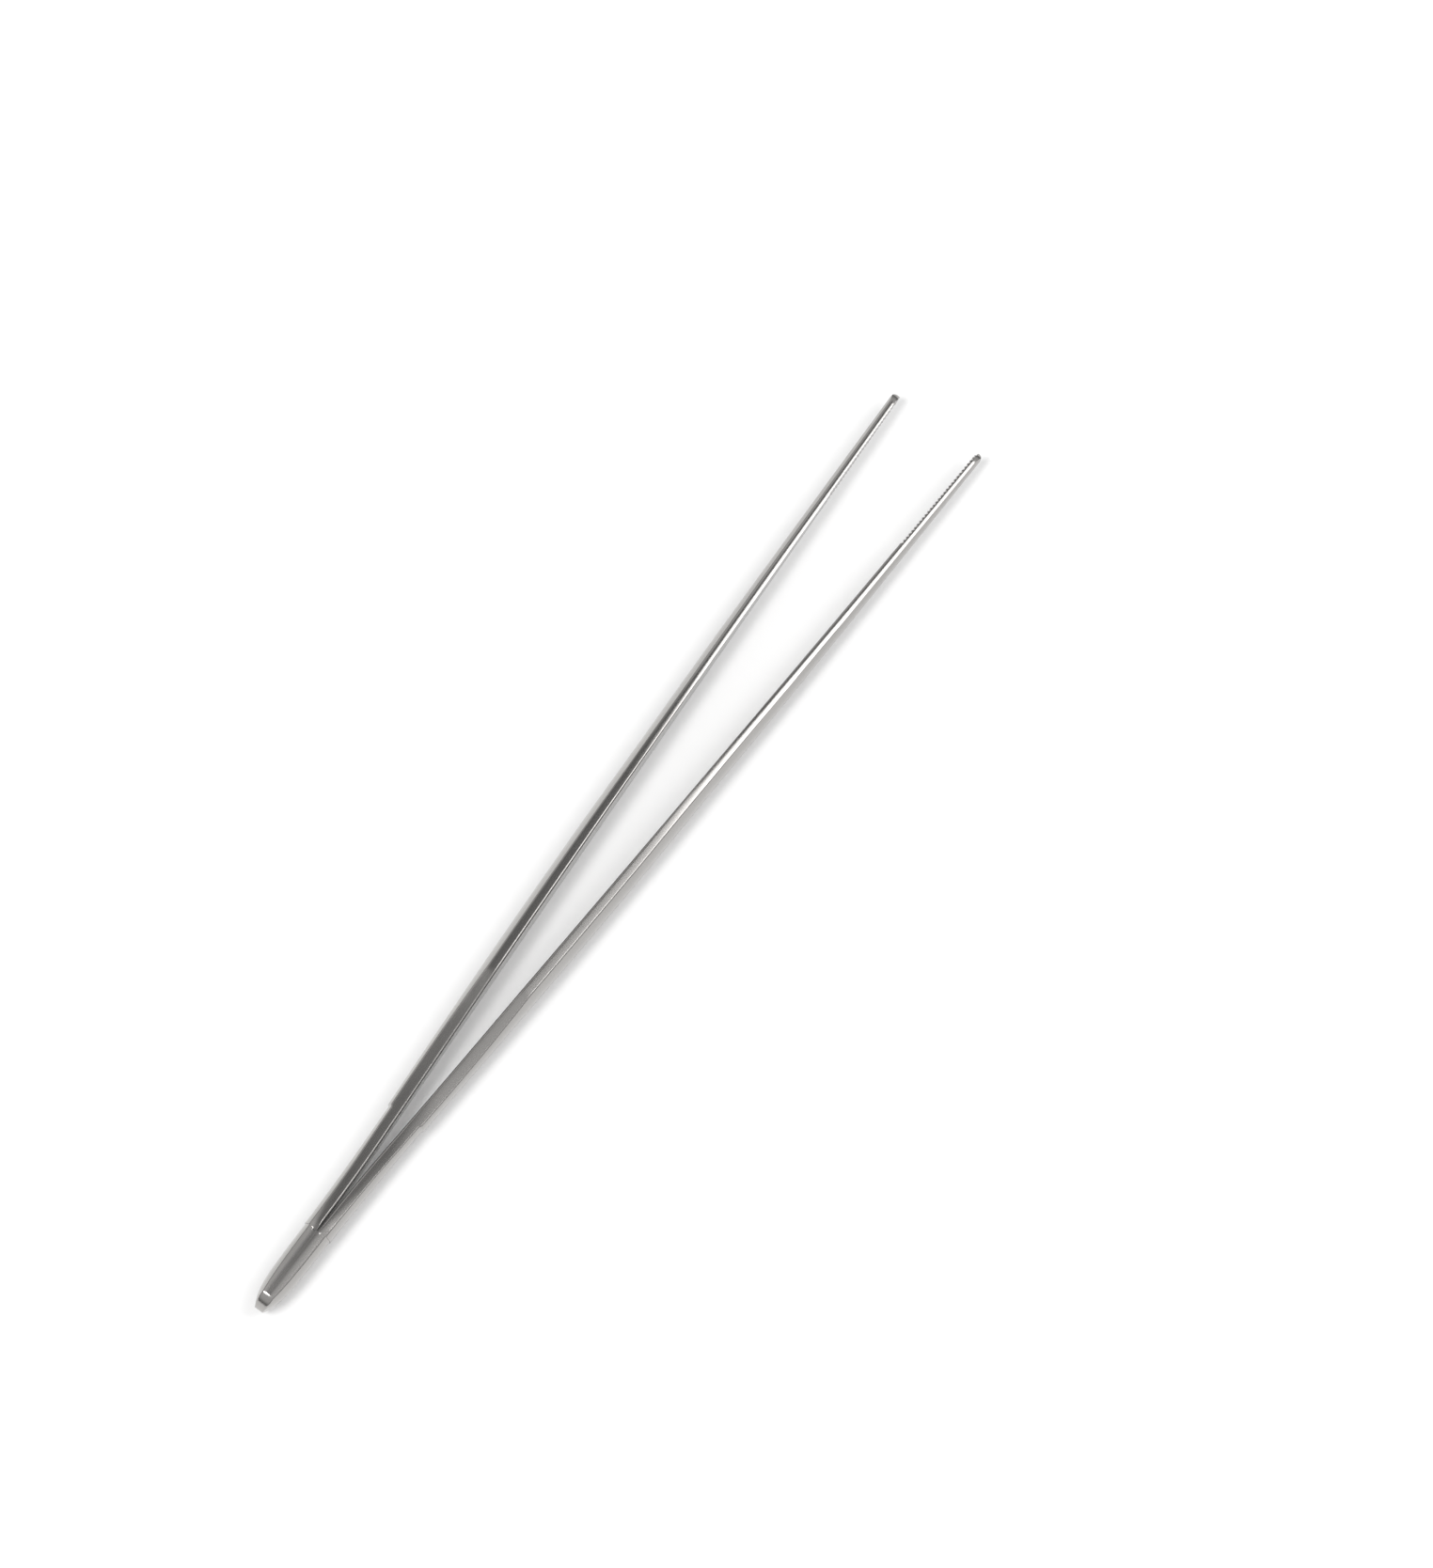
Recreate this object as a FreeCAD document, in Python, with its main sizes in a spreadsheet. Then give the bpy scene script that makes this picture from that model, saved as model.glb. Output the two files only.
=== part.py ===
"""Thumb forceps: two forged steel arms, welded face to face at the heel.

Millimetres. The forceps lies on its side: +X runs from the heel to the tips, +Y points from the seam to the left
arm, and +Z is up, across the width of the blades. The origin is on the table, under the middle of the forceps.
"""
import FreeCAD, Part
import math
import os
import re
import Sketcher

doc = FreeCAD.newDocument("thumb_forceps")

# Driving sizes in millimetres
SIZES = {
    "overall_length": 250.0,
    "weld_length": 20.5,
    "slot_width": 0.36,
    "spring_length": 22.5,
    "spring_radius": 400.0,
    "bow_radius": 9500.0,
    "tip_opening": 21.4,
    "heel_radius": 4.8,
    "heel_overrun": 1.5,
    "waist_radius": 460.0,
    "taper_radius": 1190.0,
    "nose_length": 3.2,
    "nose_shoulder_radius": 4.2,
    "nose_end_width": 1.8,
    "nose_end_radius": 1.13,
    "nose_rounding": 1.6,
    "nose_overrun": 0.15,
    "inner_rounding": 0.5,
    "jaw_length": 27.6,
    "jaw_end_margin": 1.6,
    "tooth_pitch": 0.985,
    "left_tooth_depth": 0.2,
    "right_tooth_depth": 0.4,
    "crest_overlap": 0.1,
    "section_oversize": 1.05,
    "margin": 4.0,
}

# Where a station's place is counted from: the heel's end, the weld's end, or as a share of the whole length
DATUMS = {"heel": "{place}", "weld": "weld_length + {place}", "share": "overall_length * {place}"}

# Stations along each arm: datum and place, blade width, thickness from the inner face to the crown of the outer
# face, and thickness along the blade's two edges
STATIONS = {
    "heel_end": ("heel", 0.0, 9.2, 1.0, 0.6),
    "heel_dome": ("heel", 2.2, 9.2, 2.1, 1.2),
    "heel_round": ("heel", 6.0, 9.2, 2.9, 1.65),
    "heel_full": ("heel", 12.0, 9.2, 3.2, 1.95),
    "weld_end": ("weld", 0.5, 9.2, 3.25, 2.1),
    "neck": ("weld", 15.5, 9.0, 3.3, 1.95),
    "shoulder": ("weld", 32.0, 9.9, 3.15, 1.85),
    "grip_near": ("weld", 31.0, 9.9, 3.52, 2.13),
    "grip_middle": ("share", 0.352, 10.8, 3.72, 2.25),
    "grip_far": ("share", 0.512, 10.8, 3.55, 2.05),
    "shank": ("share", 0.6, 10.4, 3.2, 1.78),
    "shank_middle": ("share", 0.688, 9.2, 3.0, 1.6),
    "shank_far": ("share", 0.8, 7.1, 2.6, 1.45),
    "jaw": ("share", 0.904, 5.1, 2.2, 1.25),
    "tip": ("share", 1.0, 3.9, 1.85, 1.12),
}
FIELDS = ("place", "width", "crown", "edge")
HEEL_LOFT = ("heel_end", "heel_dome", "heel_round", "heel_full", "weld_end", "neck", "shoulder")
ARM_LOFT = ("grip_near", "grip_middle", "grip_far", "shank", "shank_middle", "shank_far", "jaw", "tip")

sheet = doc.addObject("Spreadsheet::Sheet", "dims")
row = 0


def add_cell(alias, content):
    """Write one named cell of the sheet."""
    global row
    row += 1
    sheet.set(f"A{row}", alias)
    sheet.set(f"B{row}", str(content))
    sheet.setAlias(f"B{row}", alias)


for alias, size in SIZES.items():
    add_cell(alias, size)
for station, (datum, *sizes) in STATIONS.items():
    for field, size in zip(FIELDS, sizes):
        add_cell(f"{station}_{field}", size)
    add_cell(f"{station}_at", "=" + DATUMS[datum].format(place=f"{station}_place"))
doc.recompute()


def inner_face(at):
    """Expression for how far the inner face is from the seam's plane at a distance from the heel."""
    spring = "(slot_width / 2 + spring_radius - sqrt(spring_radius ^ 2 - {reach} ^ 2))"
    spring_end = spring.format(reach="spring_length")
    arm_start = "(weld_length + spring_length)"
    place = value(at)
    if place <= value("weld_length"):
        return "0"
    if place <= value(arm_start):
        return spring.format(reach=f"({at} - weld_length)")
    rise = f"(tip_opening / 2 - {spring_end}) * ({at} - {arm_start}) / (overall_length - {arm_start})"
    bow = f"({at} - {arm_start}) * (overall_length - {at}) / (2 * bow_radius)"
    return f"({spring_end} + {rise} + {bow})"


def value(expression):
    """Number that an expression in the sheet's names gives."""
    found = sheet.evalExpression(expression)
    return float(getattr(found, "Value", found))


def bound(expression):
    """The same expression as an object outside the sheet has to write it."""
    return re.sub(r"\b(?!sqrt\b|atan\b|floor\b)([a-z][a-z_]*)\b", r"dims.\1", expression)


for station in STATIONS:
    add_cell(f"{station}_inner", "=" + inner_face(f"{station}_at"))
doc.recompute()


def plane(body, role):
    """One of the body's own origin planes."""
    return next(item for item in body.Origin.OriginFeatures if item.Role == role)


def new_sketch(body, name, role, **offsets):
    """Sketch on an origin plane of the body, moved in its own axes by bound offsets."""
    sketch = body.newObject("Sketcher::SketchObject", name)
    sketch.AttachmentSupport = (plane(body, role), [""])
    sketch.MapMode = "FlatFace"
    for axis, expression in offsets.items():
        sketch.setExpression(f"AttachmentOffset.Base.{axis}", bound(expression))
    return sketch


def arc_through(start, end, radius):
    """Arc between two points; a positive radius bulges to the left of the way from start to end."""
    middle = (start + end) * 0.5
    half = (end - start).Length / 2
    across = FreeCAD.Vector(start.y - end.y, end.x - start.x, 0).normalize()
    rise = abs(radius) - math.sqrt(max(0, radius * radius - half * half))
    return Part.Arc(start, middle + across * math.copysign(rise, radius), end)


def closed_profile(sketch, corners, radii=None):
    """Closed outline through corners given as pairs of expressions, with each corner bound to the sheet.

    radii maps the number of a side to (bulge direction, expression of its radius); other sides are straight.
    """
    radii = radii or {}
    points = [FreeCAD.Vector(value(across), value(up), 0) for across, up in corners]
    count = len(points)
    curves = []
    ends = []
    for side, start in enumerate(points):
        end = points[(side + 1) % count]
        if side in radii:
            direction, radius = radii[side]
            curve = arc_through(start, end, direction * value(radius))
        else:
            curve = Part.LineSegment(start, end)
        curves.append(sketch.addGeometry(curve))
        first, second = (sketch.getPoint(curves[side], place) for place in (1, 2))
        ends.append((1, 2) if first.distanceToPoint(start) < second.distanceToPoint(start) else (2, 1))
    for side in range(count):
        after = (side + 1) % count
        joint = (curves[side], ends[side][1], curves[after], ends[after][0])
        sketch.addConstraint(Sketcher.Constraint("Coincident", *joint))
    for side, place in enumerate(corners):
        for kind, expression in zip(("DistanceX", "DistanceY"), place):
            corner = Sketcher.Constraint(kind, -1, 1, curves[side], ends[side][0], value(expression))
            sketch.setExpression(f"Constraints[{sketch.addConstraint(corner)}]", bound(expression))
    for side, (direction, radius) in radii.items():
        size = Sketcher.Constraint("Radius", curves[side], value(radius))
        sketch.setExpression(f"Constraints[{sketch.addConstraint(size)}]", bound(radius))


def section(body, station, side):
    """D-shaped section of the arm: flat inside, crowned outside, a little wider than the blade."""
    sketch = new_sketch(body, f"{body.Name}_{station}", "YZ_Plane", z=f"{station}_at")
    half = f"({station}_width / 2)"
    rise = f"({station}_crown - {station}_edge)"
    radius = f"(({half} ^ 2 + {rise} ^ 2) / (2 * {rise}))"
    reach = f"({half} * section_oversize)"
    outer = f"{side} * ({station}_inner + {station}_crown - {radius} + sqrt({radius} ^ 2 - {reach} ^ 2))"
    inner = f"{side} * (0 - margin)"
    corners = [(inner, f"0 - {reach}"), (outer, f"0 - {reach}"), (outer, reach), (inner, reach)]
    closed_profile(sketch, corners, {1: (-side, radius)})
    return sketch


def loft(body, name, stations, side):
    """Skin through the sections of the named stations."""
    sections = [section(body, station, side) for station in stations]
    skin = body.newObject("PartDesign::AdditiveLoft", f"{body.Name}_{name}")
    skin.Profile = sections[0]
    skin.Sections = sections[1:]


def pocket(body, name, sketch):
    """Cut the sketched area right through, both ways from its plane, and make sure that it took metal away."""
    doc.recompute()
    before = body.Shape.Volume
    cut = body.newObject("PartDesign::Pocket", f"{body.Name}_{name}")
    cut.Profile = sketch
    cut.Type = "ThroughAll"
    cut.Midplane = True
    doc.recompute()
    if not 0 < body.Shape.Volume < before:
        raise RuntimeError(f"{cut.Name} took nothing away")
    return cut


def frame_around(sketch, reach):
    """Rectangle that holds the whole arm, so that what lies between it and an inner outline is cut away."""
    left, right = "(0 - margin)", "(overall_length + margin)"
    closed_profile(sketch, [(left, f"0 - {reach}"), (right, f"0 - {reach}"), (right, reach), (left, reach)])


def trim_to_blade(body):
    """Broad outline of the blade: round heel, waist, grip with straight edges, long taper and round nose."""
    sketch = new_sketch(body, f"{body.Name}_outline", "XZ_Plane")
    heel = "heel_end_width / 2"
    heel_depth = f"(heel_radius - sqrt(heel_radius ^ 2 - ({heel}) ^ 2))"
    blunt = "(nose_end_radius - sqrt(nose_end_radius ^ 2 - (nose_end_width / 2) ^ 2))"
    outline = [
        ("0 - margin", "0"),
        ("0", "0"),
        (heel_depth, heel),
        ("(weld_length + heel_overrun)", heel),
        ("grip_middle_at", "grip_middle_width / 2"),
        ("grip_far_at", "grip_middle_width / 2"),
        ("shank_middle_at", "shank_middle_width / 2"),
        ("jaw_at", "jaw_width / 2"),
        ("overall_length - nose_length", "tip_width / 2"),
        (f"overall_length - {blunt}", "nose_end_width / 2"),
        ("overall_length", "0"),
        ("overall_length + margin", "0"),
        ("overall_length + margin", "grip_middle_width"),
        ("0 - margin", "grip_middle_width"),
    ]
    radii = {
        1: (1, "heel_radius"),
        3: (-1, "waist_radius"),
        5: (1, "taper_radius"),
        8: (1, "nose_shoulder_radius"),
        9: (1, "nose_end_radius"),
    }
    closed_profile(sketch, outline, radii)
    upper = pocket(body, "upper_edge", sketch)
    both = body.newObject("PartDesign::Mirrored", f"{body.Name}_lower_edge")
    both.Originals = [upper]
    both.MirrorPlane = (plane(body, "XY_Plane"), [""])
    body.Tip = both


def trim_inside(body, side):
    """Inner side: flat weld face, slot, spring bend, long bow to the tip, and the round outer end of the nose."""
    sketch = new_sketch(body, f"{body.Name}_inside", "XY_Plane")
    frame_around(sketch, "(tip_inner + tip_crown + margin)")
    heel, nose = "(0 - margin / 2)", "(overall_length - nose_rounding)"
    outside = "(tip_inner + tip_crown + margin / 2)"
    spring_end = "(weld_length + spring_length)"
    profile = [
        (heel, "0"),
        ("weld_length", "0"),
        ("weld_length", "slot_width / 2"),
        (spring_end, inner_face(spring_end)),
        ("overall_length", "tip_inner"),
        ("overall_length", "(tip_inner + tip_crown - nose_rounding)"),
        (nose, "(tip_inner + tip_crown + nose_overrun)"),
        (nose, outside),
        (heel, outside),
    ]
    radii = {2: (-side, "spring_radius"), 3: (side, "bow_radius"), 5: (-side, "nose_rounding")}
    closed_profile(sketch, [(across, f"{side} * {up}") for across, up in profile], radii)
    pocket(body, "inside", sketch)


def edges_of(shape, wanted):
    """Names of the edges round the faces that pass a test, apart from those that run straight up."""
    chosen = [edge for face in shape.Faces if wanted(face) for edge in face.Edges]
    names = []
    for number, edge in enumerate(shape.Edges, 1):
        upright = edge.BoundBox.XLength < 1e-3 and edge.BoundBox.YLength < 1e-3
        if not upright and any(edge.isSame(other) for other in chosen):
            names.append(f"Edge{number}")
    return names


def round_edges(body, name, wanted, radius):
    """Round the edges of the chosen faces."""
    doc.recompute()
    base = body.Tip
    fillet = body.newObject("PartDesign::Fillet", f"{body.Name}_{name}")
    fillet.Base = (base, edges_of(base.Shape, wanted))
    fillet.setExpression("Radius", bound(radius))


def is_inside(face):
    """The spring bend and the bow are round about upright axes."""
    surface = face.Surface
    return isinstance(surface, Part.Cylinder) and abs(surface.Axis.z) > 0.9 and surface.Radius > 50


def cut_serrations(body, side):
    """Cross grooves over the inner face of the jaw, with those of the right arm half a pitch further on.

    The mouths overlap a little, so that neighbouring grooves meet in a sharp crest just under the inner face.
    """
    first = f"(overall_length - jaw_end_margin - jaw_length + tooth_pitch * {0.5 if side > 0 else 1})"
    last = "(overall_length - jaw_end_margin)"
    rise = f"({inner_face(last)} - {inner_face(first)})"
    sketch = new_sketch(body, f"{body.Name}_groove", "XY_Plane", x=first, y=f"{side} * {inner_face(first)}")
    sketch.setExpression("AttachmentOffset.Rotation.Angle", bound(f"{side} * atan({rise} / ({last} - {first}))"))
    depth = "left_tooth_depth" if side > 0 else "right_tooth_depth"
    half = "((tooth_pitch + crest_overlap) / 2)"
    mouth = f"({half} * (1 + margin / {depth}))"
    outside = f"{0 - side} * margin"
    closed_profile(sketch, [("0", f"{side} * {depth}"), (f"0 - {mouth}", outside), (mouth, outside)])
    groove = pocket(body, "first_groove", sketch)
    pattern = body.newObject("PartDesign::LinearPattern", f"{body.Name}_serrations")
    pattern.Originals = [groove]
    pattern.Direction = (sketch, ["H_Axis"])
    pattern.setExpression("Occurrences", bound("floor((jaw_length - tooth_pitch) / tooth_pitch) + 1"))
    pattern.setExpression("Length", bound("floor((jaw_length - tooth_pitch) / tooth_pitch) * tooth_pitch"))
    body.Tip = pattern


def make_arm(name, side):
    """One arm; side is 1 for the left arm and -1 for the right one."""
    body = doc.addObject("PartDesign::Body", name)
    body.Label = name
    loft(body, "heel_skin", HEEL_LOFT, side)
    loft(body, "arm_skin", ARM_LOFT, side)
    trim_inside(body, side)
    trim_to_blade(body)
    round_edges(body, "inner_edges", is_inside, "inner_rounding")
    cut_serrations(body, side)
    body.setExpression("Placement.Base.x", bound("0 - overall_length / 2"))
    body.setExpression("Placement.Base.z", bound("grip_middle_width / 2"))
    return body


arms = {1: make_arm("left_arm", 1), -1: make_arm("right_arm", -1)}
doc.recompute()

for item in doc.Objects:
    if "Invalid" in item.State or "Error" in item.State:
        raise RuntimeError(f"{item.Name} failed: {item.State}")
os.makedirs("parts", exist_ok=True)
for side, arm in arms.items():
    shape = arm.Shape
    if shape.isNull() or not shape.isValid() or len(shape.Solids) != 1:
        raise RuntimeError(f"{arm.Label} is not one valid solid")
    box = shape.BoundBox
    if min(side * box.YMin, side * box.YMax) < -1e-3:
        raise RuntimeError(f"{arm.Label} crosses the seam")
    shape.exportStep(f"parts/{arm.Label}.step")
    print(f"{arm.Label}: {shape.Volume:.1f} mm3, {len(shape.Faces)} faces,", [round(v, 3) for v in
          (box.XMin, box.XMax, box.YMin, box.YMax, box.ZMin, box.ZMax)])
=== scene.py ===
# %% [markdown]
# # Thumb forceps: looks
# The forceps is two forged steel arms, joined face to face at the heel. This file gives the bare model its skin: arms
# with softly polished corners and real cross serrations, a satin steel, a sheet of white paper and soft studio light.
# Everything is in metres and in the model's own frame: +X runs from the heel to the tips, +Y points across the
# opening to the left arm, and +Z is up, across the width of the blades.

import math

import bpy
import numpy as np
from mathutils import Matrix, Vector


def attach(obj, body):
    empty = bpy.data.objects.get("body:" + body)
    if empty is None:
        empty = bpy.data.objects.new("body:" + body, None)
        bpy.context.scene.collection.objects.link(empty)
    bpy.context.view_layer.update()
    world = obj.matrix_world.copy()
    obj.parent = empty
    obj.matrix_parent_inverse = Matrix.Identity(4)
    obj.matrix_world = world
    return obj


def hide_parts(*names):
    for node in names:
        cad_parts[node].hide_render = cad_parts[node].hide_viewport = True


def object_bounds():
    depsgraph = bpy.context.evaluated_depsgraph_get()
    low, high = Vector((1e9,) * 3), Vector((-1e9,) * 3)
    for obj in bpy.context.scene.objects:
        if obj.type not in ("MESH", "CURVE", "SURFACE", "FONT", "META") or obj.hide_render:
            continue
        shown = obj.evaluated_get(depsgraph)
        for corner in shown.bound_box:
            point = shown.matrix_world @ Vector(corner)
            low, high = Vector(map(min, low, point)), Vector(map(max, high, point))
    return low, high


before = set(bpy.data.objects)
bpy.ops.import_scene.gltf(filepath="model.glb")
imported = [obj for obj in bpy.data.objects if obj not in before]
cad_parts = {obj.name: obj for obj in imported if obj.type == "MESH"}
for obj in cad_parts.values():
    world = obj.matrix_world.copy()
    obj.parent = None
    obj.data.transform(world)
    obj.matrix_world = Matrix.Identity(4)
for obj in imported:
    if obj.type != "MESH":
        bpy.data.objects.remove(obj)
model_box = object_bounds()
low, high = (np.array(corner) for corner in model_box)
print("model box, mm:", np.round(low * 1000, 2), np.round(high * 1000, 2))

# %% [markdown]
# ## The sizes that shape an arm
# A forger knows an arm by a few stations along it: how wide the blade is, how thick it is at its crowned middle, and
# how thick it stays along its edges. Between the stations the form flows, so a smooth curve through them is all that
# is needed. The stations are written in millimetres from the heel's end, as they would be on a drawing.

# %% Driving sizes, in millimetres
LENGTH = 250.0
TIP_OPENING = 21.4
WELD_LENGTH = 20.5
SLOT_WIDTH = 0.36
SPRING_LENGTH = 22.5
SPRING_RADIUS = 400.0
BOW_RADIUS = 9500.0
HEEL_RADIUS = 4.8
HEEL_HALF_WIDTH = 4.6
NOSE_LENGTH = 3.2
NOSE_SHOULDER_RADIUS = 4.2
NOSE_END_HALF_WIDTH = 0.9
NOSE_END_RADIUS = 1.13
NOSE_ROUNDING = 1.6
SHOULDER = 51.5
SHOULDER_RUN = 0.7
TOOTH_PITCH = 0.985
LEFT_TOOTH_DEPTH = 0.2
RIGHT_TOOTH_DEPTH = 0.5
CREST_OVERLAP = 0.1
JAW_LENGTH = 27.6
RIGHT_NOSE_RELIEF = 0.4
JAW_END_MARGIN = 1.6
WAIST_START = 22.0
GRIP_START = 88.0
GRIP_END = 128.0
SHANK_MIDDLE = 172.0
JAW_START = 226.0
GRIP_HALF_WIDTH = 5.4
SHANK_HALF_WIDTH = 4.6
JAW_HALF_WIDTH = 2.55
TIP_HALF_WIDTH = 1.95
WAIST_RADIUS = 460.0
TAPER_RADIUS = 1190.0

# Place, thickness to the crown, thickness along the edges: first the heel and spring, then grip, shank and jaw
HEEL_STATIONS = np.array([
    (0.0, 1.0, 0.6), (2.2, 2.1, 1.2), (6.0, 2.9, 1.65), (12.0, 3.2, 1.95),
    (21.0, 3.25, 2.1), (36.0, 3.3, 1.95), (52.5, 3.15, 1.85),
])
ARM_STATIONS = np.array([
    (51.5, 3.52, 2.13), (88.0, 3.72, 2.25), (128.0, 3.55, 2.05), (150.0, 3.2, 1.78),
    (172.0, 3.0, 1.6), (200.0, 2.6, 1.45), (226.0, 2.2, 1.25), (250.0, 1.85, 1.12),
])

# Place, rounding of the inner corners, rounding of the outer corners, radius of the crown on the narrow edges
POLISH_STATIONS = np.array([
    (0.0, 0.4, 0.4, 30.0), (40.0, 0.5, 0.45, 30.0), (128.0, 0.5, 0.45, 30.0), (150.0, 0.4, 0.4, 7.0),
    (172.0, 0.25, 0.35, 3.4), (205.0, 0.18, 0.28, 2.3), (250.0, 0.15, 0.25, 2.2),
])

# Place, curvature of the polished top over both arms, lean of the narrow edges towards -Y in the left and right arm
TOP_STATIONS = np.array([
    (0.0, 0.12, 0.0, 0.0), (19.0, 0.11, 0.0, 0.0), (26.0, 0.04, 0.0, 0.0), (33.0, 0.012, -0.01, 0.0),
    (42.0, 0.0, -0.02, 0.01), (60.0, 0.0, -0.02, 0.09), (150.0, 0.0, -0.02, 0.08), (190.0, 0.0, 0.0, 0.03),
    (215.0, 0.0, 0.0, 0.0), (250.0, 0.0, 0.0, 0.0),
])

# Place and half the width that the crown's circle is drawn for, without the round ends of the blade
CROWN_STATIONS = np.array([
    (0, 4.6), (22, 4.6), (36, 4.5), (52.5, 4.95), (88, 5.4), (128, 5.4),
    (150, 5.2), (172, 4.6), (200, 3.55), (226, 2.55), (250, 1.95),
])


def flowing(at, stations, column):
    """Smooth curve through the stations: cubic pieces whose slope at a station is the mean of its two neighbours'."""
    place, size = stations[:, 0], stations[:, column]
    chord = np.diff(size) / np.diff(place)
    slope = np.concatenate([chord[:1], (chord[1:] + chord[:-1]) / 2, chord[-1:]])
    piece = np.clip(np.searchsorted(place, at, side="right") - 1, 0, len(place) - 2)
    run = place[piece + 1] - place[piece]
    t = np.clip((at - place[piece]) / run, 0, 1)
    start = (2 * t**3 - 3 * t**2 + 1) * size[piece] + (t**3 - 2 * t**2 + t) * run * slope[piece]
    end = (3 * t**2 - 2 * t**3) * size[piece + 1] + (t**3 - t**2) * run * slope[piece + 1]
    return start + end


print("crown at mid grip, mm:", flowing(np.array([88.0]), ARM_STATIONS, 1))

# %% [markdown]
# ## Half the blade's width, along the arm
# Seen from the side the blade has a round heel, a waist where it springs, a long straight grip that it lies on, and a
# taper to a small round nose. On a drawing these are arcs and lines, so the width is worked out from the same radii.

# %% Blade outline


def arc_height(at, start, end, radius, bulge):
    """Height of an arc from start to end, each (place, height), that bulges up (1) or sags down (-1)."""
    (x0, h0), (x1, h1) = start, end
    half = math.hypot(x1 - x0, h1 - h0) / 2
    rise = math.sqrt(radius**2 - half**2)
    along, up = (x1 - x0) / (2 * half), (h1 - h0) / (2 * half)
    centre_x = (x0 + x1) / 2 + bulge * up * rise
    centre_h = (h0 + h1) / 2 - bulge * along * rise
    return centre_h + bulge * np.sqrt(np.maximum(radius**2 - (at - centre_x) ** 2, 0))


def line_height(at, start, end):
    """Height of the straight line from start to end, each (place, height)."""
    return start[1] + (at - start[0]) * (end[1] - start[1]) / (end[0] - start[0])


def half_width(at):
    """Half the blade's width: round heel, waist, straight grip, arc and straight taper, round nose."""
    heel_depth = HEEL_RADIUS - math.sqrt(HEEL_RADIUS**2 - HEEL_HALF_WIDTH**2)
    blunt = NOSE_END_RADIUS - math.sqrt(NOSE_END_RADIUS**2 - NOSE_END_HALF_WIDTH**2)
    nose, end = LENGTH - NOSE_LENGTH, LENGTH - blunt
    heel = np.sqrt(np.maximum(HEEL_RADIUS**2 - (HEEL_RADIUS - at) ** 2, 0))
    waist = arc_height(at, (WAIST_START, HEEL_HALF_WIDTH), (GRIP_START, GRIP_HALF_WIDTH), WAIST_RADIUS, -1)
    taper = arc_height(at, (GRIP_END, GRIP_HALF_WIDTH), (SHANK_MIDDLE, SHANK_HALF_WIDTH), TAPER_RADIUS, 1)
    shank = line_height(at, (SHANK_MIDDLE, SHANK_HALF_WIDTH), (JAW_START, JAW_HALF_WIDTH))
    jaw = line_height(at, (JAW_START, JAW_HALF_WIDTH), (nose, TIP_HALF_WIDTH))
    shoulder = arc_height(at, (nose, TIP_HALF_WIDTH), (end, NOSE_END_HALF_WIDTH), NOSE_SHOULDER_RADIUS, 1)
    tip = np.sqrt(np.maximum(NOSE_END_RADIUS**2 - (at - LENGTH + NOSE_END_RADIUS) ** 2, 0))
    limits = (heel_depth, WAIST_START, GRIP_START, GRIP_END, SHANK_MIDDLE, JAW_START, nose, end)
    shapes = [heel, HEEL_HALF_WIDTH + 0 * at, waist, GRIP_HALF_WIDTH + 0 * at, taper, shank, jaw, shoulder]
    return np.select([at < limit for limit in limits], shapes, tip)


print("half widths, mm:", np.round(half_width(np.array([2.0, 12, 52, 100, 160, 200, 240, 249])), 2))

# %% [markdown]
# ## The inner face, and the serrations cut into it
# The two arms touch along the weld. Beyond it a hair-thin slot opens, the arm springs outwards on a large radius and
# then runs almost straight to the tip. The jaws are cut across with V grooves, so that what is held can't slip. The
# grooves of one jaw face the lands of the other.

# %% Inner face


def inner_face(at):
    """Distance of the inner face from the seam: nothing on the weld, then an arc, then a very flat bow."""
    start = WELD_LENGTH + SPRING_LENGTH
    reach = np.clip(at - WELD_LENGTH, 0, SPRING_LENGTH)
    spring = SLOT_WIDTH / 2 + SPRING_RADIUS - np.sqrt(SPRING_RADIUS**2 - reach**2)
    first = SLOT_WIDTH / 2 + SPRING_RADIUS - math.sqrt(SPRING_RADIUS**2 - SPRING_LENGTH**2)
    rise = (TIP_OPENING / 2 - first) * (at - start) / (LENGTH - start)
    bow = (at - start) * (LENGTH - at) / (2 * BOW_RADIUS)
    return np.select([at < WELD_LENGTH, at < start], [0 * at, spring], first + rise + bow)


def groove_depth(at, side):
    """Depth of the cross grooves: a triangle wave with sharp crests, half a pitch further on in the right arm."""
    last = LENGTH - JAW_END_MARGIN
    first = last - JAW_LENGTH + TOOTH_PITCH * (0.5 if side > 0 else 1.0)
    turn = (at - first) / TOOTH_PITCH
    off_centre = np.abs(turn - np.round(turn)) * TOOTH_PITCH
    half_mouth = (TOOTH_PITCH + CREST_OVERLAP) / 2
    count = math.floor((JAW_LENGTH - TOOTH_PITCH) / TOOTH_PITCH) + 1
    inside = (np.round(turn) >= 0) & (np.round(turn) < count)
    deepest = LEFT_TOOTH_DEPTH if side > 0 else RIGHT_TOOTH_DEPTH
    relief = RIGHT_NOSE_RELIEF if side < 0 else 0
    return np.where(inside, deepest * np.clip(1 - off_centre / half_mouth, 0, 1), np.where(at > last, relief, 0))


print("half opening at the tip, mm:", inner_face(np.array([LENGTH])))

# %% [markdown]
# ## One section of an arm
# Cut across, an arm is a D: flat inside, two narrow flat edges, and a crowned back. All four long corners are softened
# by polishing. The section is a list of points that goes once round the D, and each corner is an arc that touches
# both of its sides. Working it out for every station at once gives the whole skin as one grid.

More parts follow.
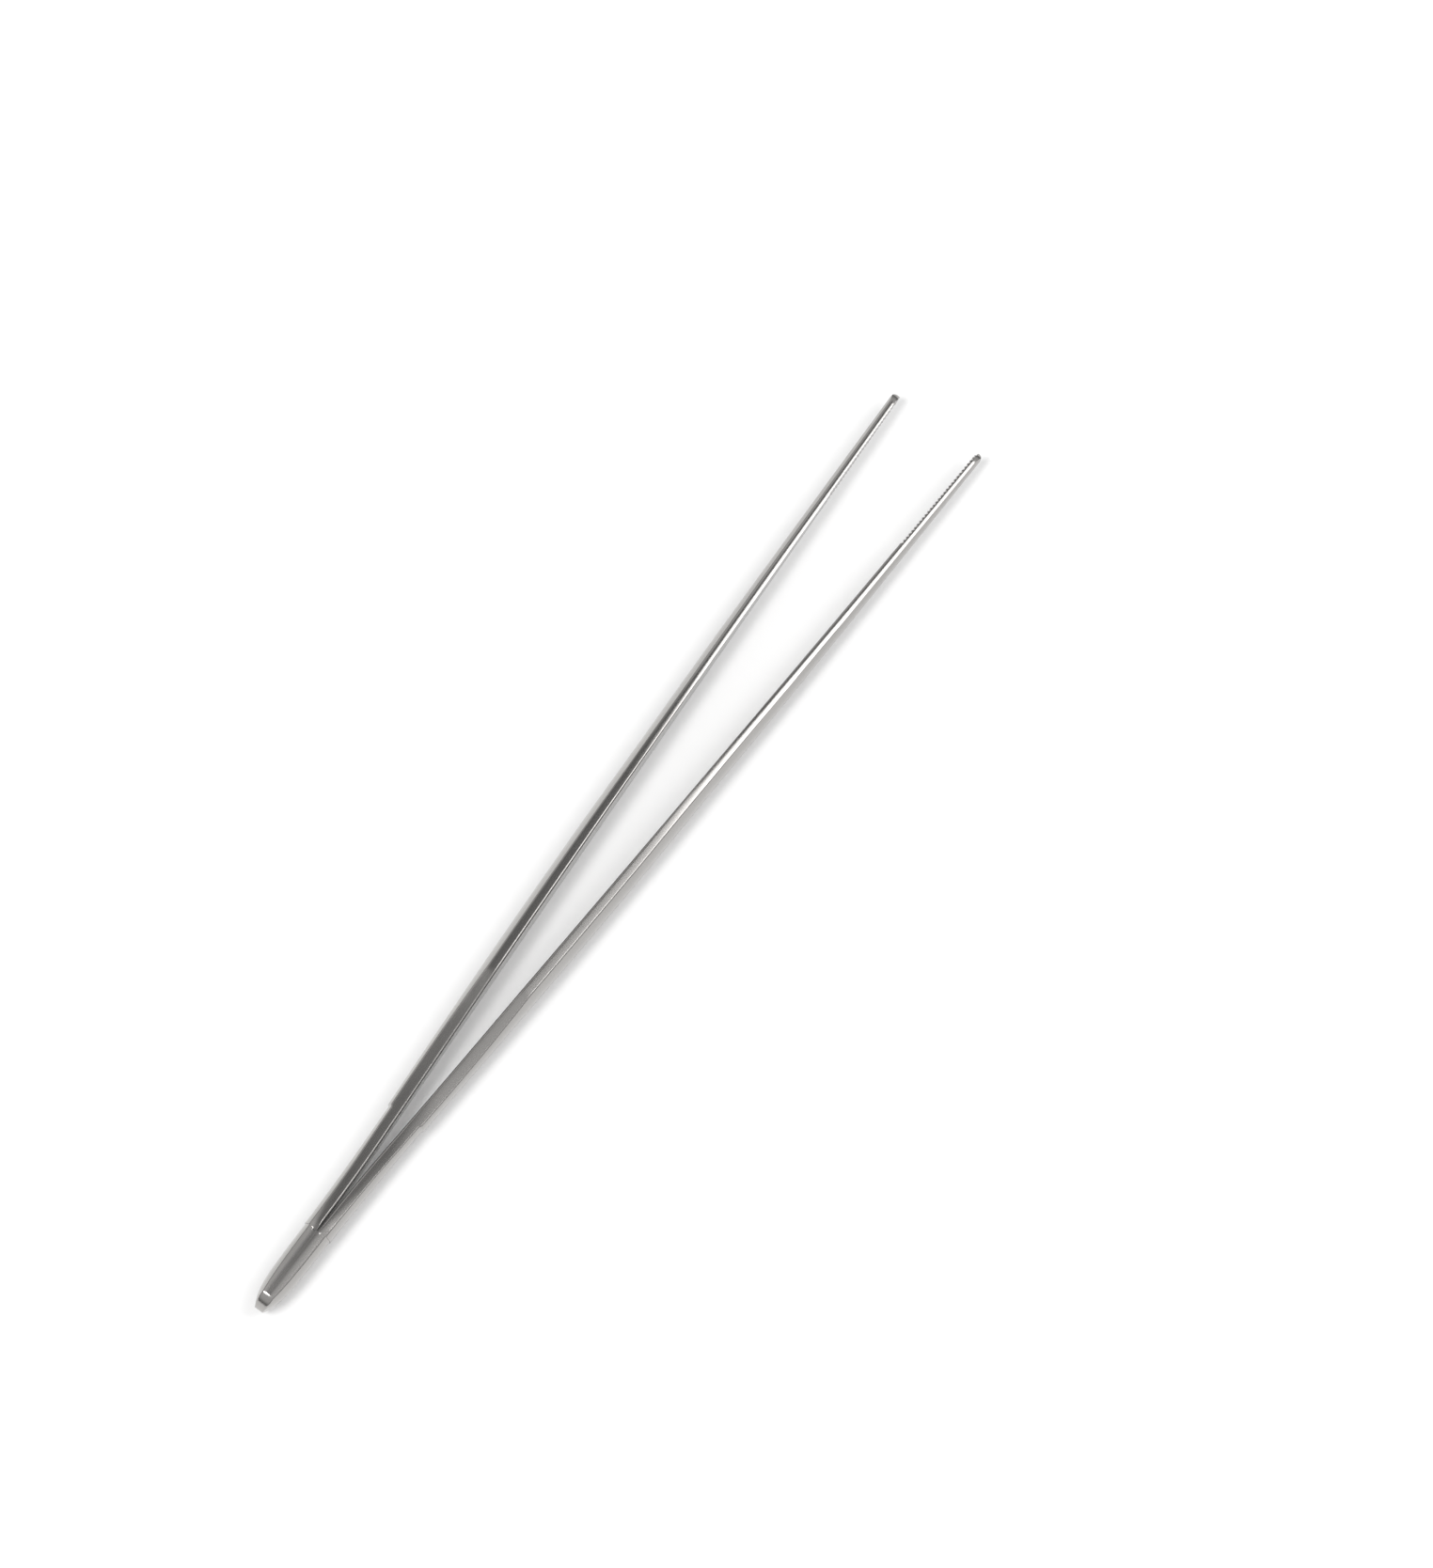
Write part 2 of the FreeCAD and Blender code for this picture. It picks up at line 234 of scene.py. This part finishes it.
# %% Skin of an arm
FACE_POINTS = 9
CORNER_POINTS = 7
EDGE_POINTS = 9
CROWN_POINTS = 21
HEEL_REACH = 6.0
NOSE_REACH = 4.0
HEEL_SECTIONS, BODY_SECTIONS, STEP_SECTIONS, NOSE_SECTIONS = 40, 330, 17, 36
GROOVES_TRIED = 30
GROOVE_SECTIONS = np.array([-0.98, -0.9, -0.7, -0.45, -0.2, -0.06, 0.0, 0.06, 0.2, 0.45, 0.7, 0.9, 0.98])
CLOSEST_SECTIONS = 0.0015

# Where the blade is narrower than this half width, its corners shrink with it
CORNER_SHRINK_HALF_WIDTH = 0.9
CORNER_RUN = 2.0
CORNER_SHARE = 0.45
GROOVE_SHARE = 0.8
TOP_SHARPNESS = 8


def stations_along(side):
    """Places of the sections: close at the ends and at the step, and at every corner of every groove."""
    heel = HEEL_REACH * (1 - np.cos(np.linspace(0.0, math.pi / 2, HEEL_SECTIONS)))
    heel[0] = 0.004
    nose = LENGTH - NOSE_REACH * (1 - np.cos(np.linspace(0.0, math.pi / 2, NOSE_SECTIONS)))
    nose[0] = LENGTH - 0.003
    body = np.linspace(HEEL_REACH, LENGTH - NOSE_REACH, BODY_SECTIONS)
    step = np.linspace(SHOULDER - SHOULDER_RUN, SHOULDER + SHOULDER_RUN, STEP_SECTIONS)
    slot = np.array([WELD_LENGTH - 0.001, WELD_LENGTH + 0.001])
    last = LENGTH - JAW_END_MARGIN
    turns = np.arange(-1, GROOVES_TRIED) * TOOTH_PITCH + last - JAW_LENGTH + TOOTH_PITCH * (0.5 if side > 0 else 1.0)
    parts = GROOVE_SECTIONS * TOOTH_PITCH / 2
    teeth = (turns[:, None] + parts[None, :]).ravel()
    teeth = teeth[teeth < last + 0.5]
    places = np.unique(np.round(np.concatenate([heel, body, step, slot, teeth, nose]), 4))
    keep = np.concatenate([[True], np.diff(places) > CLOSEST_SECTIONS])
    return places[keep]


def thickness(at, column):
    """Thickness from the stations; the raised grip begins at the shoulder with a short ramp."""
    ramp = np.clip((at - SHOULDER + SHOULDER_RUN / 2) / SHOULDER_RUN, 0, 1)
    ramp = ramp**2 * (3 - 2 * ramp)
    return flowing(at, HEEL_STATIONS, column) * (1 - ramp) + flowing(at, ARM_STATIONS, column) * ramp


def arc_points(centre_y, centre_z, radius, start, end, count):
    """Points of one corner arc at every station: centre plus radius times the turned unit vector."""
    turn = start[:, None] + (end - start)[:, None] * np.linspace(0, 1, count)[None, :]
    return centre_y[:, None] + radius[:, None] * np.cos(turn), centre_z[:, None] + radius[:, None] * np.sin(turn)


def section_rings(at, side):
    """Upper half of the D at every station, from the middle of the inner face to the crown, as two arrays y and z.

    The crown is a circle through the blade's two edges and the crown's height. Each corner circle touches the flats,
    or a flat and the crown circle, whose centre distance is the difference of the two radii.
    """
    half = half_width(at)
    face = inner_face(at)
    crown, edge = thickness(at, 1), thickness(at, 2)
    nose_drop = np.clip(at - (LENGTH - NOSE_ROUNDING), 0, NOSE_ROUNDING)
    crown_end = NOSE_ROUNDING - np.sqrt(np.maximum(NOSE_ROUNDING**2 - nose_drop**2, 0))
    full_half = np.interp(at, CROWN_STATIONS[:, 0], CROWN_STATIONS[:, 1])
    rise = crown - edge
    radius = (full_half**2 + rise**2) / (2 * rise)
    centre = crown - radius
    shrink = np.minimum(1, half / CORNER_SHRINK_HALF_WIDTH)
    opening = np.clip((at - WELD_LENGTH) / CORNER_RUN, 0.02, 1)
    inner_r = flowing(at, POLISH_STATIONS, 1) * opening * shrink
    outer_r = flowing(at, POLISH_STATIONS, 2) * shrink
    edge_crown = np.interp(at, POLISH_STATIONS[:, 0], POLISH_STATIONS[:, 3])
    top = np.minimum(centre + np.sqrt(radius**2 - half**2), crown)
    inner_r = np.minimum(inner_r, np.minimum(half, top) * CORNER_SHARE)
    outer_r = np.minimum(outer_r, np.minimum(half, top) * CORNER_SHARE)
    corner_y = centre + np.sqrt((radius - outer_r) ** 2 - (half - outer_r) ** 2)
    corner_z = half - outer_r
    lean = np.arctan2(corner_z, corner_y - centre)
    quarter = np.full_like(at, math.pi / 2)
    face_z = np.linspace(0, 1, FACE_POINTS)[None, :] * (half - inner_r)[:, None]
    inner = arc_points(inner_r, half - inner_r, inner_r, np.full_like(at, math.pi), quarter, CORNER_POINTS)
    edge_y = inner_r[:, None] + np.linspace(0, 1, EDGE_POINTS)[None, :] * (corner_y - inner_r)[:, None]
    outer = arc_points(corner_y, corner_z, outer_r, quarter, lean, CORNER_POINTS)
    turn = lean[:, None] * np.linspace(1, 0, CROWN_POINTS)[None, :]
    crown_y = centre[:, None] + radius[:, None] * np.cos(turn)
    crown_z = radius[:, None] * np.sin(turn)
    flat_z = half[:, None] + 0 * edge_y
    y = np.concatenate([0 * face_z, inner[0][:, 1:], edge_y[:, 1:-1], outer[0], crown_y[:, 1:]], 1)
    z = np.concatenate([face_z, inner[1][:, 1:], flat_z[:, 1:-1], outer[1], crown_z[:, 1:]], 1)
    edge_middle = (inner_r + corner_y)[:, None] / 2
    z = np.minimum(z, half[:, None] - (y - edge_middle) ** 2 / (2 * edge_crown[:, None]))
    across, bend = y + face[:, None], np.interp(at, TOP_STATIONS[:, 0], TOP_STATIONS[:, 1])
    tilt = -side * np.interp(at, TOP_STATIONS[:, 0], TOP_STATIONS[:, 2 if side > 0 else 3])
    drop = across**2 * bend[:, None] / 2 + np.maximum(y * tilt[:, None], (y - crown[:, None]) * tilt[:, None])
    z = z - drop * np.clip(z / half[:, None], 0, 1) ** TOP_SHARPNESS
    cap = (crown - crown_end)[:, None]
    y = np.minimum(y, cap)
    cut = np.minimum(groove_depth(at, side)[:, None], np.maximum(cap * GROOVE_SHARE, 0))
    return face[:, None] + np.maximum(y, cut), z


def build_arm(name, side):
    """Closed skin: the upper half ring and its mirror at every station, with a fan of triangles over each end."""
    at = stations_along(side)
    y, z = section_rings(at, side)
    y = np.concatenate([y, y[:, -2:0:-1]], 1) * side
    z = np.concatenate([z, -z[:, -2:0:-1]], 1)
    count, around = y.shape
    x = np.repeat((at - LENGTH / 2)[:, None], around, 1)
    points = np.stack([x, y, z + GRIP_HALF_WIDTH], 2).reshape(-1, 3)
    ends = np.stack([points[:around].mean(0), points[-around:].mean(0)])
    points = np.concatenate([points, ends]) / 1000
    first = (np.arange(count - 1)[:, None] * around + np.arange(around)[None, :]).ravel()
    second = (np.arange(count - 1)[:, None] * around + (np.arange(around)[None, :] + 1) % around).ravel()
    quads = np.stack([first, first + around, second + around, second], 1)
    ring = np.arange(around)
    after = (ring + 1) % around
    heel_fan = np.stack([np.full(around, count * around), ring, after], 1)
    last = (count - 1) * around
    nose_fan = np.stack([np.full(around, count * around + 1), last + after, last + ring], 1)
    if side < 0:
        quads, heel_fan, nose_fan = quads[:, ::-1], heel_fan[:, ::-1], nose_fan[:, ::-1]
    mesh = bpy.data.meshes.new(name)
    mesh.from_pydata(points.tolist(), [], quads.tolist() + heel_fan.tolist() + nose_fan.tolist())
    mesh.shade_smooth()
    mesh.set_sharp_from_angle(angle=math.radians(32))
    mesh.update()
    piece = bpy.data.objects.new(name, mesh)
    bpy.context.scene.collection.objects.link(piece)
    print(name, "points", len(points), "faces", len(mesh.polygons), "box, mm",
          np.round(points.min(0) * 1000, 2), np.round(points.max(0) * 1000, 2))
    return piece


left_arm = build_arm("left_arm_skin", 1)
right_arm = build_arm("right_arm_skin", -1)
for piece, node in ((left_arm, "left_arm"), (right_arm, "right_arm")):
    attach(piece, "root")
    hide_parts(node)

# %% [markdown]
# ## Satin steel
# A surgical instrument is ground along its length and then polished to a satin, so its reflections are soft and
# drawn out. The grain is a noise stretched far along the arm. It changes the roughness and the shading a little, and
# slow patches change the colour. The colour is a neutral grey, because steel takes its light from what is round it.

# %% Grain group


def grain_group():
    """Node group: fine lines along the arm and slow cloudy patches, both as 0 to 1 values, and a bump height."""
    group = bpy.data.node_groups.new("satin_grain", "ShaderNodeTree")
    for label, kind in (("Vector", "NodeSocketVector"), ("Fineness", "NodeSocketFloat")):
        group.interface.new_socket(label, in_out="INPUT", socket_type=kind)
    for label in ("Lines", "Patches", "Height"):
        group.interface.new_socket(label, in_out="OUTPUT", socket_type="NodeSocketFloat")
    nodes, links = group.nodes, group.links
    entry, leave = nodes.new("NodeGroupInput"), nodes.new("NodeGroupOutput")
    stretch = nodes.new("ShaderNodeMapping")
    stretch.inputs["Scale"].default_value = (0.02, 1.0, 1.0)
    lines = nodes.new("ShaderNodeTexNoise")
    lines.inputs["Detail"].default_value = 6.0
    patches = nodes.new("ShaderNodeTexNoise")
    patches.inputs["Scale"].default_value = 60.0
    patches.inputs["Detail"].default_value = 3.0
    links.new(entry.outputs["Vector"], stretch.inputs["Vector"])
    links.new(stretch.outputs["Vector"], lines.inputs["Vector"])
    links.new(entry.outputs["Fineness"], lines.inputs["Scale"])
    links.new(entry.outputs["Vector"], patches.inputs["Vector"])
    links.new(lines.outputs["Fac"], leave.inputs["Lines"])
    links.new(patches.outputs["Fac"], leave.inputs["Patches"])
    links.new(lines.outputs["Fac"], leave.inputs["Height"])
    return group


GRAIN = grain_group()
print("grain group sockets:", [item.name for item in GRAIN.interface.items_tree])

# %% Steel
STEEL_DARK = (0.37, 0.36, 0.35, 1.0)
STEEL_LIGHT = (0.43, 0.418, 0.406, 1.0)


def steel_material(name, turn_degrees):
    """Metal whose grain follows one arm, which leans from the row's axis by turn_degrees."""
    material = bpy.data.materials.new(name)
    material.use_nodes = True
    nodes, links = material.node_tree.nodes, material.node_tree.links
    shader = nodes["Principled BSDF"]
    shader.inputs["Metallic"].default_value = 1.0
    place = nodes.new("ShaderNodeTexCoord")
    turn = nodes.new("ShaderNodeMapping")
    turn.inputs["Rotation"].default_value = (0, 0, math.radians(turn_degrees))
    grain = nodes.new("ShaderNodeGroup")
    grain.node_tree = GRAIN
    grain.inputs["Fineness"].default_value = 4200.0
    colour = nodes.new("ShaderNodeMix")
    colour.data_type = "RGBA"
    colour.inputs[6].default_value = STEEL_DARK
    colour.inputs[7].default_value = STEEL_LIGHT
    rough = nodes.new("ShaderNodeMapRange")
    rough.inputs["To Min"].default_value = 0.17
    rough.inputs["To Max"].default_value = 0.22
    bump = nodes.new("ShaderNodeBump")
    bump.inputs["Strength"].default_value = 0.08
    bump.inputs["Distance"].default_value = 0.00002
    links.new(place.outputs["Object"], turn.inputs["Vector"])
    links.new(turn.outputs["Vector"], grain.inputs["Vector"])
    links.new(grain.outputs["Patches"], colour.inputs["Factor"])
    links.new(grain.outputs["Lines"], rough.inputs["Value"])
    links.new(grain.outputs["Height"], bump.inputs["Height"])
    links.new(colour.outputs[2], shader.inputs["Base Color"])
    links.new(rough.outputs["Result"], shader.inputs["Roughness"])
    links.new(bump.outputs["Normal"], shader.inputs["Normal"])
    return material


ARM_LEAN = math.degrees(math.atan(TIP_OPENING / 2 / (LENGTH - WELD_LENGTH)))
left_arm.data.materials.append(steel_material("satin_steel_left", -ARM_LEAN))
right_arm.data.materials.append(steel_material("satin_steel_right", ARM_LEAN))
print("arms lean by, degrees:", round(ARM_LEAN, 2))

# %% [markdown]
# ## Paper, room and light
# The forceps lies on a white sheet. In the studio that is a plain matt floor, which the camera sees as pure white
# apart from the soft shadow. Steel shows what surrounds it, so the room matters as much as the lamps: a pale world
# with one dim patch, which darkens the left arm's upper edge, a window lamp whose reflection draws the light lines
# along the narrow edges, and a stronger left lamp.

# %% Floor
FLOOR_REACH = 3.0
PAPER_WHITE = 0.93
PAPER_LIFT = 0.07


def paper_material():
    """Matt white paper; camera, mirror and glass rays see it a little lifted, so that it is pure white in the open."""
    material = bpy.data.materials.new("white_paper")
    material.use_nodes = True
    nodes, links = material.node_tree.nodes, material.node_tree.links
    shader = nodes["Principled BSDF"]
    shader.inputs["Base Color"].default_value = (PAPER_WHITE, PAPER_WHITE, PAPER_WHITE, 1)
    shader.inputs["Roughness"].default_value = 0.9
    shader.inputs["Specular IOR Level"].default_value = 0.1
    shader.inputs["Emission Color"].default_value = (1, 1, 1, 1)
    path = nodes.new("ShaderNodeLightPath")
    seen = path.outputs["Is Camera Ray"]
    for kind in ("Is Glossy Ray", "Is Transmission Ray"):
        either = nodes.new("ShaderNodeMath")
        either.operation = "MAXIMUM"
        links.new(seen, either.inputs[0])
        links.new(path.outputs[kind], either.inputs[1])
        seen = either.outputs["Value"]
    lift = nodes.new("ShaderNodeMath")
    lift.operation = "MULTIPLY"
    lift.inputs[1].default_value = PAPER_LIFT
    links.new(seen, lift.inputs[0])
    links.new(lift.outputs["Value"], shader.inputs["Emission Strength"])
    return material


floor_mesh = bpy.data.meshes.new("paper_floor")
floor_mesh.from_pydata([(-FLOOR_REACH, -FLOOR_REACH, 0), (FLOOR_REACH, -FLOOR_REACH, 0),
                        (FLOOR_REACH, FLOOR_REACH, 0), (-FLOOR_REACH, FLOOR_REACH, 0)], [], [(0, 1, 2, 3)])
floor = bpy.data.objects.new("paper_floor", floor_mesh)
bpy.context.scene.collection.objects.link(floor)
floor_mesh.materials.append(paper_material())
print("floor reaches, m:", FLOOR_REACH)

# %% Camera
IMAGE_WIDTH, IMAGE_HEIGHT = 1524, 1668
HEEL_PIXEL = (275.0, 1393.5)
TIPS_PIXEL = (998.2, 451.4)
HEEL_POINT = Vector((-0.125, 0.0, 0.0054))
TIPS_POINT = Vector((0.125, 0.0, 0.0059))
CAMERA_AZIMUTH = -70.0
CAMERA_ELEVATION = 76.5
CAMERA_DISTANCE = 0.9


def aim_camera():
    """Turns the camera round its line of sight, then sets lens and shift so that two points meet their pixels."""
    azimuth, elevation = math.radians(CAMERA_AZIMUTH), math.radians(CAMERA_ELEVATION)
    back = Vector((math.sin(azimuth) * math.cos(elevation), -math.cos(azimuth) * math.cos(elevation),
                   math.sin(elevation)))
    eye = Vector((0, 0, 0.005)) + back * CAMERA_DISTANCE
    right = Vector((0, 0, 1)).cross(back).normalized()
    up = back.cross(right)

    def seen(point):
        ray = point - eye
        depth = -ray.dot(back)
        return Vector((ray.dot(right) / depth, ray.dot(up) / depth))

    across = seen(TIPS_POINT) - seen(HEEL_POINT)
    wanted = Vector((TIPS_PIXEL[0] - HEEL_PIXEL[0], HEEL_PIXEL[1] - TIPS_PIXEL[1]))
    focal = wanted.length / across.length
    roll = math.atan2(wanted.y, wanted.x) - math.atan2(across.y, across.x)
    turned_right = right * math.cos(roll) - up * math.sin(roll)
    turned_up = right * math.sin(roll) + up * math.cos(roll)
    heel = seen(HEEL_POINT)
    heel = Vector((heel.x * math.cos(roll) - heel.y * math.sin(roll),
                   heel.x * math.sin(roll) + heel.y * math.cos(roll))) * focal
    shift_x = IMAGE_WIDTH / 2 + heel.x - HEEL_PIXEL[0]
    shift_y = HEEL_PIXEL[1] - (IMAGE_HEIGHT / 2 - heel.y)
    camera = bpy.data.objects.new("camera", bpy.data.cameras.new("camera"))
    bpy.context.scene.collection.objects.link(camera)
    camera.data.sensor_width = 36.0
    camera.data.lens = focal * 36.0 / IMAGE_HEIGHT
    camera.data.shift_x = shift_x / IMAGE_HEIGHT
    camera.data.shift_y = shift_y / IMAGE_HEIGHT
    camera.data.clip_start, camera.data.clip_end = 0.01, 20.0
    camera.matrix_world = Matrix.Translation(eye) @ Matrix((turned_right, turned_up, back)).transposed().to_4x4()
    bpy.context.scene.camera = camera
    print("lens, mm:", round(camera.data.lens, 2), "shift:", round(camera.data.shift_x, 4),
          round(camera.data.shift_y, 4), "roll, degrees:", round(math.degrees(roll), 2))


aim_camera()

# %% Light
PATCH_MIDDLE = (0.22, 0.14)
PATCH_REACH = (0.42, 0.16)
DIM_LEVEL = 0.2
PALE_LEVEL = 0.66
HORIZON_LEVEL = 0.2


def add_area(name, place, size, power):
    """Soft rectangular lamp, size (across, along its tilt), that points at the middle of the forceps."""
    lamp = bpy.data.objects.new(name, bpy.data.lights.new(name, "AREA"))
    bpy.context.scene.collection.objects.link(lamp)
    lamp.data.shape = "RECTANGLE"
    lamp.data.size, lamp.data.size_y = size
    lamp.data.energy = power
    lamp.location = place
    lamp.rotation_mode = "QUATERNION"
    lamp.rotation_quaternion = Vector(place).to_track_quat("Z", "Y")


def room_world():
    """World of a light room: pale dome, dim near the horizon, and a dim oval patch a little off the zenith.

    level = patch(distance) * height(z), both smooth steps. The distance is that of the direction from the patch's
    middle, in the patch's own half lengths along X and Y. The patch goes from DIM_LEVEL at 0.6 to 1 at 1.5, and the
    height from HORIZON_LEVEL at z = 0.1 to PALE_LEVEL at z = 0.5.
    """
    world = bpy.data.worlds.new("room")
    world.use_nodes = True
    nodes, links = world.node_tree.nodes, world.node_tree.links
    background = nodes["Background"]
    direction = nodes.new("ShaderNodeTexCoord")
    off = nodes.new("ShaderNodeVectorMath")
    off.operation = "SUBTRACT"
    off.inputs[1].default_value = (*PATCH_MIDDLE, 0)
    scaled = nodes.new("ShaderNodeVectorMath")
    scaled.operation = "MULTIPLY"
    scaled.inputs[1].default_value = (1 / PATCH_REACH[0], 1 / PATCH_REACH[1], 0)
    distance = nodes.new("ShaderNodeVectorMath")
    distance.operation = "LENGTH"
    patch = nodes.new("ShaderNodeMapRange")
    patch.interpolation_type = "SMOOTHSTEP"
    for socket, level in zip(("From Min", "From Max", "To Min", "To Max"), (0.6, 1.5, DIM_LEVEL, 1.0)):
        patch.inputs[socket].default_value = level
    split = nodes.new("ShaderNodeSeparateXYZ")
    height = nodes.new("ShaderNodeMapRange")
    height.interpolation_type = "SMOOTHSTEP"
    for socket, level in zip(("From Min", "From Max", "To Min", "To Max"), (0.1, 0.5, HORIZON_LEVEL, PALE_LEVEL)):
        height.inputs[socket].default_value = level
    product = nodes.new("ShaderNodeMath")
    product.operation = "MULTIPLY"
    links.new(direction.outputs["Generated"], off.inputs[0])
    links.new(off.outputs["Vector"], scaled.inputs[0])
    links.new(scaled.outputs["Vector"], distance.inputs[0])
    links.new(distance.outputs["Value"], patch.inputs["Value"])
    links.new(direction.outputs["Generated"], split.inputs["Vector"])
    links.new(split.outputs["Z"], height.inputs["Value"])
    links.new(patch.outputs["Result"], product.inputs[0])
    links.new(height.outputs["Result"], product.inputs[1])
    background.inputs["Color"].default_value = (1, 1, 1, 1)
    links.new(product.outputs["Value"], background.inputs["Strength"])
    return world


bpy.context.scene.world = room_world()
add_area("window_lamp", (0.42, -0.34, 1.0), (0.6, 0.5), 2.8)
add_area("left_lamp", (-0.4, 0.25, 1.1), (0.3, 0.35), 6.0)
bpy.context.scene.view_settings.view_transform = "Standard"
